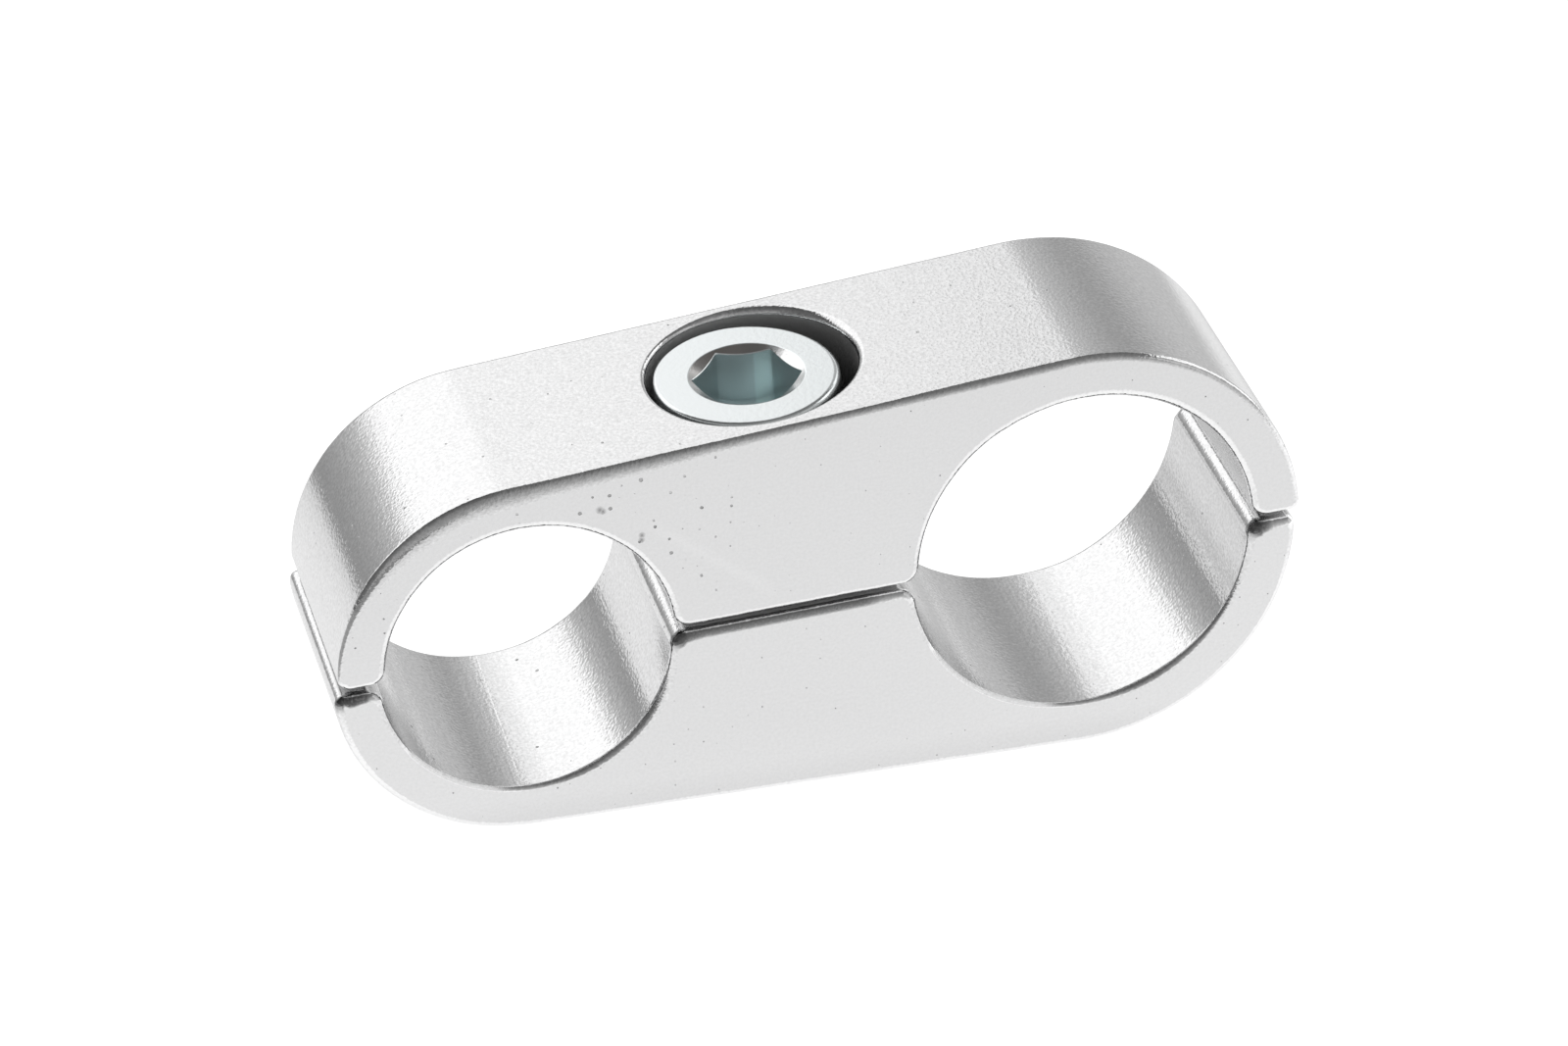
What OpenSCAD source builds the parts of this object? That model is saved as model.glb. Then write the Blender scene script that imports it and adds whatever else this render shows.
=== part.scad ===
// Two-piece clamp that holds a small and a large hose side by side.
// The body is split through both bore axes, and one cap screw pulls the halves together.

/* [Hoses] */
// Diameter of the bore for the small hose
small_bore_d = 14.8; // [12.5:0.1:16]
// Diameter of the bore for the large hose
large_bore_d = 17.7; // [15.5:0.1:19]
// Distance between the axes of the two bores
axis_spacing = 29; // [27:0.5:40]

/* [Body] */
// Depth of the body along the hoses
body_depth = 12.7; // [12:0.1:30]
// Wall around the small bore
small_wall = 2.45; // [1.5:0.05:5]
// Wall around the large bore
large_wall = 2.55; // [1.5:0.05:5]
// Radius of the tumbled edges
edge_round = 0.4; // [0.2:0.05:0.8]
// Radius where the split faces run into the bores
mouth_round = 0.9; // [0.4:0.05:1.5]

/* [Split] */
// Gap between the split faces with the screw run in by hand
split_gap = 0.35; // [0.1:0.05:1.5]
// How far the upper half sits toward the large hose in the play of its hole
side_shift = 0.25; // [0:0.05:0.25]

/* [Cap screw] */
// Diameter of the shank
screw_d = 6.35; // [5:0.05:6.5]
// Length of the shank under the head
screw_length = 12.7; // [9:0.1:14]
// Diameter of the head
head_d = 9.5; // [8:0.05:9.8]
// Height of the head
head_h = 6.35; // [5:0.05:6.8]
// Width of the hexagon socket across its flats
socket_width = 4.8; // [4:0.05:5.2]
// Depth of the hexagon socket
socket_depth = 3.2; // [2:0.1:4]
// Turn of the hexagon about the screw axis
socket_turn = -10; // [-30:1:30]
// Screw axis off the middle of the web, toward the large bore when positive
screw_offset = -0.2; // [-0.6:0.1:0.6]

/* [Screw holes] */
// Room between the head and its counterbore, on the radius
head_clearance = 0.65; // [0.35:0.05:0.95]
// How far the head is sunk below the top face
head_sink = 0.42; // [0.1:0.01:1]
// Room between the shank and the clearance hole, on the radius
hole_clearance = 0.33; // [0.3:0.01:0.6]
// Room between the shank and the tapped hole, on the radius
thread_clearance = 0.05; // [0.03:0.01:0.1]
// Width of the small chamfers at the mouths of the screw holes
hole_chamfer = 0.3; // [0.1:0.05:0.5]

/* [Hidden] */
$fn = 96;

small_bore_r = small_bore_d / 2;
large_bore_r = large_bore_d / 2;
small_end_r = small_bore_r + small_wall;
large_end_r = large_bore_r + large_wall;
half_spacing = axis_spacing / 2;

// The top and the underside are tangent to both round ends, so each leans by this angle
taper = asin((large_end_r - small_end_r) / axis_spacing);
flat_length = axis_spacing * cos(taper);

// The screw stands in the web between the bores, a little off its middle
web_middle = (small_bore_r - large_bore_r) / 2;
screw_x = web_middle + screw_offset;
top_at_screw = large_end_r / cos(taper) - (half_spacing - screw_x) * tan(taper);
seat_z = top_at_screw - head_sink - head_h;

// Standing on its underside, the body is as high here as the mean of its end radii
stand_height = (small_end_r + large_end_r) / 2;
left_reach = (half_spacing + small_end_r) * cos(taper);
right_reach = (half_spacing + large_end_r + side_shift) * cos(taper) - split_gap * sin(taper);
length_middle = (right_reach - left_reach) / 2;

// Cutters run this far past the faces that they cut
overrun = 1;
// An edge round is drawn a touch full, so that it meets both faces at a slight angle
round_fullness = 1.03;
// The counterbore and the hole for the shank in the upper half, the tapped hole in the lower half
counterbore_r = head_d / 2 + head_clearance;
clearance_hole_r = screw_d / 2 + hole_clearance;
tapped_hole_r = screw_d / 2 + thread_clearance;
// Edges of the screw itself
head_round = 0.35;
shank_chamfer = 0.7;
socket_chamfer = 0.3;
// The socket ends in a blunt cone, this much smaller than the hexagon and with this half angle
socket_tip_inset = 0.2;
socket_tip_angle = 59;
socket_tip_blunt_r = 0.25;

// The straight middle lies this little under the round ends, so that it runs into them cleanly
flat_sink = 0.01;
// The rounding along the flat runs on this far past it
edge_overlap = 2;
// The rounding of a round end runs on this many degrees past the split plane
end_overlap = 20;

// Waste outside a rounded corner whose material lies left of and below the origin
module corner_waste(r) {
    difference() {
        translate([-r, -r])
            square(r + overrun);
        translate([-r, -r])
            circle(r * round_fullness);
    }
}

// Height of the flat above the split plane, at a place along the body
function flat_height(x) =
    (large_end_r - flat_sink) / cos(taper) - (half_spacing - x) * tan(taper);

// Side view of one half above the split plane: a tapered bar with round ends and two half bores
module half_outline() {
    left = -half_spacing - small_end_r - overrun;
    right = half_spacing + large_end_r + overrun;
    difference() {
        polygon([
            [left, 0],
            [left, flat_height(left)],
            [right, flat_height(right)],
            [right, 0]
        ]);
        translate([-half_spacing, 0]) {
            rotate(taper)
                round_end_waste(small_end_r);
            bore_outline(small_bore_r);
        }
        translate([half_spacing, 0]) {
            rotate(taper)
                mirror([1, 0])
                    round_end_waste(large_end_r);
            bore_outline(large_bore_r);
        }
        translate([-half_spacing - small_end_r, 0])
            rotate(180)
                corner_waste(edge_round);
        translate([half_spacing + large_end_r, 0])
            mirror([0, 1])
                corner_waste(edge_round);
    }
}

// Waste outside a round end about the origin, left of where the flat leaves it
module round_end_waste(r) {
    difference() {
        translate([-r - 2 * overrun, -r / 2])
            square([r + 2 * overrun, r * 1.5 + 2 * overrun]);
        circle(r);
    }
}

// A bore about the origin, with the corners that it leaves in the split face rounded off
module bore_outline(r) {
    circle(r);
    for (toward = [0, 1])
        mirror([toward, 0])
            translate([r, 0])
                rotate(180)
                    corner_waste(mouth_round);
}

// Repeats a cutter at the front and at the back of the body
module front_and_back() {
    for (side = [0, 1])
        mirror([0, side, 0])
            children();
}

// Rounds the edge of a bore, all the way round
module bore_edge(r) {
    rotate([90, 0, 0])
        rotate_extrude()
            translate([r, body_depth / 2])
                mirror([1, 0])
                    corner_waste(edge_round);
}

// Rounds the outer edge of a round end, from one angle to another in the side view
module end_edge(r, from, to) {
    rotate([0, -from, 0])
        rotate([90, 0, 0])
            rotate_extrude(angle = to - from)
                translate([r, body_depth / 2])
                    corner_waste(edge_round);
}

// Rounds a straight edge that runs along X, with the material below it
module straight_edge(from, to) {
    translate([from, body_depth / 2, 0])
        rotate([0, 90, 0])
            mirror([1, 0, 0])
                linear_extrude(to - from)
                    corner_waste(edge_round);
}

// One half with its bores and rounded edges, before the screw hole goes in
module bored_half() {
    difference() {
        rotate([90, 0, 0])
            linear_extrude(body_depth, center = true)
                half_outline();
        front_and_back() {
            mirror([0, 0, 1])
                straight_edge(-axis_spacing * 2, axis_spacing * 2);
            translate([half_spacing, 0, 0])
                rotate([0, -taper, 0])
                    translate([0, 0, large_end_r - flat_sink])
                        straight_edge(-flat_length - edge_overlap, edge_overlap);
            translate([-half_spacing, 0, 0]) {
                end_edge(small_end_r, 90 + taper, 180 + end_overlap);
                bore_edge(small_bore_r);
            }
            translate([half_spacing, 0, 0]) {
                end_edge(large_end_r, -end_overlap, 90 + taper);
                bore_edge(large_bore_r);
            }
        }
    }
}

// A round hole that opens through the plane at z = 0, with a chamfered mouth there
module chamfered_mouth(r) {
    translate([0, 0, -overrun])
        cylinder(h = overrun + 2 * hole_chamfer, r1 = r + hole_chamfer + overrun, r2 = r - hole_chamfer);
}

module lower_half() {
    color("gainsboro")
        in_standing_place()
            difference() {
                mirror([0, 0, 1])
                    bored_half();
                translate([screw_x, 0, -large_end_r - overrun])
                    cylinder(h = large_end_r + 2 * overrun, r = tapped_hole_r);
                translate([screw_x, 0, 0])
                    mirror([0, 0, 1])
                        chamfered_mouth(tapped_hole_r);
            }
}

module upper_half() {
    color("gainsboro")
        in_standing_place()
            translate([side_shift, 0, split_gap])
                difference() {
                    bored_half();
                    translate([screw_x, 0, -overrun])
                        cylinder(h = seat_z + 2 * overrun, r = clearance_hole_r);
                    translate([screw_x, 0, 0])
                        chamfered_mouth(clearance_hole_r);
                    translate([screw_x, 0, seat_z])
                        cylinder(h = head_h + head_sink + 2 * overrun, r = counterbore_r);
                    translate([screw_x, 0, top_at_screw])
                        rotate([0, -taper, 0])
                            mirror([0, 0, 1])
                                chamfered_mouth(counterbore_r);
                }
}

module cap_screw() {
    color("silver")
        in_standing_place()
            translate([screw_x, 0, split_gap + seat_z])
                difference() {
                    rotate_extrude()
                        screw_section();
                    translate([0, 0, head_h - socket_depth])
                        rotate(socket_turn)
                            cylinder(h = socket_depth + overrun, d = socket_width / cos(30), $fn = 6);
                    translate([0, 0, head_h])
                        mirror([0, 0, 1])
                            chamfered_socket();
                    translate([0, 0, head_h - socket_depth])
                        mirror([0, 0, 1])
                            socket_tip();
                }
}

// Half section of the screw: the head above y = 0 and the shank below it
module screw_section() {
    difference() {
        polygon([
            [0, head_h],
            [head_d / 2, head_h],
            [head_d / 2, 0],
            [screw_d / 2, 0],
            [screw_d / 2, shank_chamfer - screw_length],
            [screw_d / 2 - shank_chamfer, -screw_length],
            [0, -screw_length]
        ]);
        translate([head_d / 2, head_h])
            corner_waste(head_round);
    }
}

// Countersink that leads into the hexagon socket, opening upward from z = 0
module chamfered_socket() {
    corner_r = socket_width / 2 / cos(30);
    translate([0, 0, -overrun])
        cylinder(h = overrun + socket_chamfer * 2, r1 = corner_r + overrun + socket_chamfer,
            r2 = corner_r - socket_chamfer);
}

// Cone at the bottom of the socket, pointing up from z = 0
module socket_tip() {
    tip_r = socket_width / 2 - socket_tip_inset;
    cylinder(h = (tip_r - socket_tip_blunt_r) / tan(socket_tip_angle), r1 = tip_r, r2 = socket_tip_blunt_r);
}

// From the split plane's own frame to the body standing on its underside
module in_standing_place() {
    translate([-length_middle, 0, stand_height])
        rotate([0, -taper, 0])
            children();
}

lower_half();
upper_half();
cap_screw();
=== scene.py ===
import math

import bmesh
import bpy
from mathutils import Matrix, Vector, noise
from mathutils.geometry import delaunay_2d_cdt


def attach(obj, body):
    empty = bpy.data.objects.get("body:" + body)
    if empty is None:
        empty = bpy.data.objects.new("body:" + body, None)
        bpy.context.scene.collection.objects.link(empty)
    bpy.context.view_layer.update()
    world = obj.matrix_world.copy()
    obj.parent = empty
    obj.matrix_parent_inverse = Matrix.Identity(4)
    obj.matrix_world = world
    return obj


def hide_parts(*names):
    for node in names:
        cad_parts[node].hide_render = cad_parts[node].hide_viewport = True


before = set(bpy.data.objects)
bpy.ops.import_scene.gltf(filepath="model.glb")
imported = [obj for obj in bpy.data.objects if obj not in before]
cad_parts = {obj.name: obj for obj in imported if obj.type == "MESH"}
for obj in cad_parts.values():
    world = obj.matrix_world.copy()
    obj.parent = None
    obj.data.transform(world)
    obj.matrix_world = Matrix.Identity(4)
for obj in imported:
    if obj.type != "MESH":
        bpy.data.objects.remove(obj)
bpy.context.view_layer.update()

# Camera
# A long lens looks down on the clamp from the front left, as in the photograph.
# It is hardly rolled: the body's slant in the picture comes from the view along its length.
VIEW_FROM = Vector((-0.06667, -0.25263, 0.17589))
VIEW_TO = Vector((-0.00039, 0.00026, 0.01174))
VIEW_ROLL = math.radians(-0.178)
FOCAL_LENGTH_MM = 138.4
FILM_WIDTH_MM = 36.0

camera_data = bpy.data.cameras.new("camera")
camera_data.sensor_fit = "HORIZONTAL"
camera_data.sensor_width = FILM_WIDTH_MM
camera_data.lens = FOCAL_LENGTH_MM
camera_data.clip_start = 0.01
camera_data.clip_end = 20.0
camera = bpy.data.objects.new("camera", camera_data)
look = (VIEW_TO - VIEW_FROM).to_track_quat("-Z", "Y").to_matrix().to_4x4()
camera.matrix_world = Matrix.Translation(VIEW_FROM) @ look @ Matrix.Rotation(VIEW_ROLL, 4, "Z")
bpy.context.scene.collection.objects.link(camera)
bpy.context.scene.camera = camera
bpy.context.scene.view_settings.view_transform = "Standard"


# Studio
# A white table in a pale room. The eye sees plain white all round, and what the metal
# mirrors is shaped by a bright window behind, grey boards beside it, and a dark front.
TABLE_HALF_WIDTH = 3.0
TABLE_COLOUR = 0.80
TABLE_COLOUR_MIRRORED = 0.30
TABLE_GLOW_MIRRORED = 0.68
TABLE_GLOW_SEEN = 0.62
ROOM_LIGHT = 0.85
WHITE = (1.0, 1.0, 1.0, 1.0)
ROOM_SIDE = 0.9
CEILING = 1.0
LOW_BOARD_LENGTH = 1.6
LEFT_SIDE_END = 0.35
# The boards in front and at the sides leave this gap above the table
BOARD_FOOT = 0.02
WINDOW_Y = 0.5
WINDOW_LEFT = -0.8
WINDOW_TOP = 0.57
# The window's sill, seen at this slope from the middle of the clamp
EYE_LEVEL = 0.012
SILL_SLOPE = 0.37
WINDOW_SILL = EYE_LEVEL + SILL_SLOPE * WINDOW_Y


def add_node(tree, kind, **settings):
    """A node of a material, world or geometry tree, with its settings made."""
    made = tree.nodes.new(kind)
    for name, value in settings.items():
        setattr(made, name, value)
    return made


def maths(tree, operation, *values, clamp=False):
    """A math node fed with numbers or with other nodes' outputs."""
    made = add_node(tree, "ShaderNodeMath", operation=operation, use_clamp=clamp)
    for slot, value in zip(made.inputs, values):
        if isinstance(value, (int, float)):
            slot.default_value = value
        else:
            tree.links.new(value, slot)
    return made.outputs[0]


def one_minus(tree, value, clamp=False):
    return maths(tree, "SUBTRACT", 1.0, value, clamp=clamp)


def seen_directly(tree):
    """1 for what the eye sees directly, in polished metal or through glass."""
    path = add_node(tree, "ShaderNodeLightPath")
    eye_or_metal = maths(tree, "ADD", path.outputs["Is Camera Ray"], path.outputs["Is Glossy Ray"])
    return maths(tree, "ADD", eye_or_metal, path.outputs["Is Transmission Ray"], clamp=True)


def build_room():
    """Pale light for what is soft, and white for the eye, in polished metal and through glass."""
    room = bpy.data.worlds.new("room")
    room.use_nodes = True
    tree = room.node_tree
    tree.nodes.clear()
    light = add_node(tree, "ShaderNodeBackground")
    light.inputs["Strength"].default_value = ROOM_LIGHT
    white = add_node(tree, "ShaderNodeBackground")
    white.inputs["Strength"].default_value = 1.0
    for shade in (light, white):
        shade.inputs["Color"].default_value = WHITE
    mix = add_node(tree, "ShaderNodeMixShader")
    tree.links.new(seen_directly(tree), mix.inputs["Fac"])
    tree.links.new(light.outputs[0], mix.inputs[1])
    tree.links.new(white.outputs[0], mix.inputs[2])
    tree.links.new(mix.outputs[0], add_node(tree, "ShaderNodeOutputWorld").inputs["Surface"])
    bpy.context.scene.world = room


def ramp(tree, value, stops):
    """Straight steps between (place, result) pairs."""
    low, high = stops[0][0], stops[-1][0]
    curve = add_node(tree, "ShaderNodeValToRGB")
    scale = max(result for _, result in stops)
    points = curve.color_ramp.elements
    while len(points) < len(stops):
        points.new(0.5)
    for k, (place, result) in enumerate(stops):
        points[k].position = (place - low) / (high - low)
        level = result / scale
        points[k].color = (level, level, level, 1.0)
    placed = maths(tree, "DIVIDE", maths(tree, "SUBTRACT", value, low), high - low, clamp=True)
    tree.links.new(placed, curve.inputs["Fac"])
    return maths(tree, "MULTIPLY", curve.outputs["Color"], scale)


def place_in(tree):
    """X, Y and Z outputs of the place on the object."""
    split = add_node(tree, "ShaderNodeSeparateXYZ")
    tree.links.new(add_node(tree, "ShaderNodeTexCoord").outputs["Object"], split.inputs[0])
    return split.outputs


def new_material(name):
    material = bpy.data.materials.new(name)
    material.use_nodes = True
    material.node_tree.nodes.clear()
    return material, material.node_tree


def add_surface(tree, kind):
    """A shader that is the material's surface."""
    shader = add_node(tree, kind)
    tree.links.new(shader.outputs[0], add_node(tree, "ShaderNodeOutputMaterial").inputs["Surface"])
    return shader


def painted_table_light(tree):
    """Painted light and shade on the table, seen only in the metal: a painted shadow of the object close at
    its back, painted shade to its left, painted light in front of it and to its right, and painted shade far
    from it.
    """
    x, y, _ = place_in(tree)
    # Painted shade on the table far beyond the object's back, deeper on the left
    far = ramp(tree, x, [(-0.05, 0.36), (0.05, 0.64)])
    fall = ramp(tree, y, [(0.025, 0.0), (0.05, 0.14), (0.076, 0.38), (0.080, 0.42), (0.085, 1.0)])
    beyond = one_minus(tree, maths(tree, "MULTIPLY", fall, one_minus(tree, far)))
    # A painted shadow of the object on the table, close at its back
    across = ramp(tree, x, [(-0.014, 0.0), (-0.008, 1.0), (0.0, 1.0), (0.007, 0.3), (0.014, 0.3),
                            (0.020, 1.0), (0.032, 1.0), (0.048, 0.0)])
    behind = ramp(tree, y, [(0.0, 0.0), (0.012, 0.36)])
    shade = one_minus(tree, maths(tree, "MULTIPLY", across, behind))
    # Painted shade on the table to the left of the object
    left = ramp(tree, x, [(-0.046, 1.0), (-0.038, 0.0)])
    not_behind = ramp(tree, y, [(0.004, 0.6), (0.016, 0.0)])
    painted_shade_left = one_minus(tree, maths(tree, "MULTIPLY", left, not_behind))
    # Painted light on the table close in front of the object, fading to painted shade far in front
    painted_light_in_front = ramp(tree, y, [(-1.0, 0.54), (-0.25, 0.60), (-0.10, 0.74), (-0.055, 0.88), (-0.042, 0.97),
                              (-0.026, 1.0), (-0.022, 1.02), (-0.012, 1.06), (-0.006, 1.13), (-0.005, 1.0)])
    # Painted light on the table to the right of the object
    right = ramp(tree, x, [(0.040, 0.0), (0.055, 0.22)])
    beside = ramp(tree, y, [(-0.06, 0.3), (-0.03, 1.0), (0.004, 1.0), (0.02, 0.0)])
    painted_light_right = maths(tree, "ADD", 1.0, maths(tree, "MULTIPLY", right, beside))
    darkest = maths(tree, "MINIMUM", beyond, shade)
    painted_light_in_metal = maths(tree, "MULTIPLY", darkest, maths(tree, "MULTIPLY", painted_shade_left, painted_light_in_front))
    return maths(tree, "MULTIPLY", painted_light_in_metal, painted_light_right)


def table_material():
    """White, and evenly so to the eye. In the metal it shows painted light and shade: a painted shadow at the
    object's back, and darker away from it.
    """
    material, tree = new_material("white_table")
    painted_light_in_metal = painted_table_light(tree)
    path = add_node(tree, "ShaderNodeLightPath").outputs
    to_metal = path["Is Glossy Ray"]

    def by_ray(seen, in_metal):
        """One strength for what the eye and soft light meet, another for what the metal mirrors."""
        unmirrored = maths(tree, "MULTIPLY", seen, one_minus(tree, to_metal))
        return maths(tree, "ADD", unmirrored, maths(tree, "MULTIPLY", in_metal, to_metal))

    both = add_surface(tree, "ShaderNodeAddShader")
    paint = add_node(tree, "ShaderNodeBsdfDiffuse")
    colour = by_ray(TABLE_COLOUR, maths(tree, "MULTIPLY", painted_light_in_metal, TABLE_COLOUR_MIRRORED))
    tree.links.new(colour, paint.inputs["Color"])
    tree.links.new(paint.outputs[0], both.inputs[0])
    glow = add_node(tree, "ShaderNodeEmission")
    glow.inputs["Color"].default_value = WHITE
    seen = maths(tree, "MULTIPLY", path["Is Camera Ray"], TABLE_GLOW_SEEN)
    strength = by_ray(seen, maths(tree, "MULTIPLY", painted_light_in_metal, TABLE_GLOW_MIRRORED))
    tree.links.new(strength, glow.inputs["Strength"])
    tree.links.new(glow.outputs[0], both.inputs[1])
    return material


def board_material(name, tables):
    """A board whose glow is the product of (place, strength) tables, one for each axis named."""
    material, tree = new_material(name)
    glow = add_surface(tree, "ShaderNodeEmission")
    glow.inputs["Color"].default_value = WHITE
    place = place_in(tree)
    strength = 1.0
    for axis, stops in tables.items():
        strength = maths(tree, "MULTIPLY", ramp(tree, place[axis], stops), strength)
    tree.links.new(strength, glow.inputs["Strength"])
    return material


def plate(name, corners, material):
    """A flat four-cornered piece of the studio."""
    mesh = bpy.data.meshes.new(name)
    mesh.from_pydata(corners, [], [(0, 1, 2, 3)])
    mesh.materials.append(material)
    made = bpy.data.objects.new(name, mesh)
    bpy.context.scene.collection.objects.link(made)
    return made


def board(name, corners, **tables):
    """A board that only polished metal shows, so it hides nothing and throws no shadow."""
    made = plate(name, corners, board_material(name, tables))
    made.visible_camera = False
    made.visible_diffuse = False
    made.visible_transmission = False
    made.visible_shadow = False


def upright_board(name, start, end, foot, head, **tables):
    """A board that stands between two places, each an X and a Y."""
    board(name, [(*start, foot), (*end, foot), (*end, head), (*start, head)], **tables)


build_room()
w = TABLE_HALF_WIDTH
plate("table_top", [(-w, -w, 0), (w, -w, 0), (w, w, 0), (-w, w, 0)], table_material())
upright_board("window_behind", (WINDOW_LEFT, WINDOW_Y), (ROOM_SIDE, WINDOW_Y), WINDOW_SILL, WINDOW_TOP,
              X=[(WINDOW_LEFT, 1.34), (-0.02, 1.20), (0.03, 1.05), (0.06, 1.04), (0.09, 0.99),
                 (0.106, 0.95), (0.122, 0.74), (0.14, 0.64), (0.175, 0.55), (0.225, 0.45), (0.27, 0.39),
                 (0.42, 0.39), (0.5, 1.30), (ROOM_SIDE, 1.30)])
upright_board("left_board", (-LOW_BOARD_LENGTH, WINDOW_Y), (0, WINDOW_Y), 0, WINDOW_SILL,
              Z=[(0.0, 0.36), (0.07, 0.41), (0.13, 0.52), (WINDOW_SILL, 0.72)])
upright_board("right_board", (0, WINDOW_Y), (LOW_BOARD_LENGTH, WINDOW_Y), 0, WINDOW_SILL,
              Z=[(0.0, 0.62), (0.12, 0.56), (WINDOW_SILL, 0.49)])
board("dark_overhead",
      [(-ROOM_SIDE, -ROOM_SIDE, CEILING), (ROOM_SIDE, -ROOM_SIDE, CEILING),
       (ROOM_SIDE, WINDOW_Y, CEILING), (-ROOM_SIDE, WINDOW_Y, CEILING)],
      X=[(-ROOM_SIDE, 0.62), (-0.1, 0.62), (0.1, 1.0), (ROOM_SIDE, 1.0)],
      Y=[(-ROOM_SIDE, 0.27), (-0.3, 0.20), (0.1, 0.17), (WINDOW_Y, 0.17)])
# Above the window it is bright on the left and dark on the right
upright_board("dark_above_window", (-ROOM_SIDE, WINDOW_Y), (ROOM_SIDE, WINDOW_Y), WINDOW_TOP, CEILING,
              X=[(-ROOM_SIDE, 1.20), (-0.06, 1.20), (0.04, 0.14), (ROOM_SIDE, 0.14)])
upright_board("front", (-ROOM_SIDE, -ROOM_SIDE), (ROOM_SIDE, -ROOM_SIDE), BOARD_FOOT, CEILING,
              X=[(-ROOM_SIDE, 0.72), (-0.1, 0.72), (0.1, 1.0), (ROOM_SIDE, 1.15)],
              Z=[(BOARD_FOOT, 0.56), (0.22, 0.46), (0.5, 0.35), (CEILING, 0.27)])
upright_board("dark_left", (-ROOM_SIDE, -ROOM_SIDE), (-ROOM_SIDE, LEFT_SIDE_END), BOARD_FOOT, CEILING,
              Y=[(-ROOM_SIDE, 0.22), (-0.3, 0.14), (LEFT_SIDE_END, 0.11)])
upright_board("right_side", (ROOM_SIDE, -ROOM_SIDE), (ROOM_SIDE, WINDOW_Y), BOARD_FOOT, CEILING,
              Y=[(-ROOM_SIDE, 0.65), (-0.45, 0.58), (-0.2, 0.42), (-0.04, 0.40), (0.03, 1.30),
                 (WINDOW_Y, 1.30)])


# Lower half of the clamp
# Cut from an extruded and tumbled aluminium bar. It lies on its flat underside, carries
# half of each bore in its top, and takes the screw in a tapped hole that goes right through.
MM = 0.001
SMALL_BORE_R = 7.4
LARGE_BORE_R = 8.85
SMALL_END_R = SMALL_BORE_R + 2.45
LARGE_END_R = LARGE_BORE_R + 2.55
BORE_X = 14.5
BODY_DEPTH = 12.7
MOUTH_ROUND = 0.9
LOWER_CORNER_ROUND = 0.48
EDGE_ROUND = 0.38
EDGE_WEAR = 0.10
EDGE_STEPS = 8
OUTLINE_STEP = 0.25
SCREW_X = -0.925
HOLE_SIDES = 108
TAPER = math.asin((LARGE_END_R - SMALL_END_R) / (2 * BORE_X))
# The middle of the body's length, to the right of the middle between the bores
LENGTH_MIDDLE = 0.88936
STAND_HEIGHT = (SMALL_END_R + LARGE_END_R) / 2
THREAD_PITCH = 1.27
TAPPED_R = 3.26
TAPPED_CREST_R = 2.54
TAPPED_CREST_FLAT = 0.11
TAPPED_MOUTH_R = 3.52
TAPPED_EXIT_R = TAPPED_MOUTH_R + 0.12
TAPPED_EXIT_DEPTH = 0.55
TAPPED_ROWS = 120
# Places this close together are one
SAME_PLACE = 1e-6
# A half's materials, in the order of its mesh
TUMBLED, REAMED, MILLED, SAWN, FACED = range(5)

SCREW_AXIS = Vector((SCREW_X, 0, 0))
HOLE_SPOKES = [Vector((math.cos(2 * math.pi * k / HOLE_SIDES), math.sin(2 * math.pi * k / HOLE_SIDES), 0))
               for k in range(HOLE_SIDES)]


def flat_height(x):
    """Height of the long flat above the split plane."""
    return SMALL_END_R / math.cos(TAPER) + (x + BORE_X) * math.tan(TAPER)


def arc_points(x, z, radius, start, end, outward):
    """Points along an arc in the side view, each with its surface normal."""
    steps = max(4, math.ceil(abs(math.radians(end - start)) * radius / OUTLINE_STEP))
    for k in range(steps + 1):
        a = math.radians(start + (end - start) * k / steps)
        c, s = math.cos(a), math.sin(a)
        yield (x + radius * c, z + radius * s, outward * c, outward * s)


def line_points(start, end, normal):
    """Points inside a straight run of the outline, without its ends."""
    steps = math.ceil(math.dist(start, end) / OUTLINE_STEP)
    for k in range(1, steps):
        t = k / steps
        yield (start[0] + (end[0] - start[0]) * t, start[1] + (end[1] - start[1]) * t, *normal)


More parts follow.
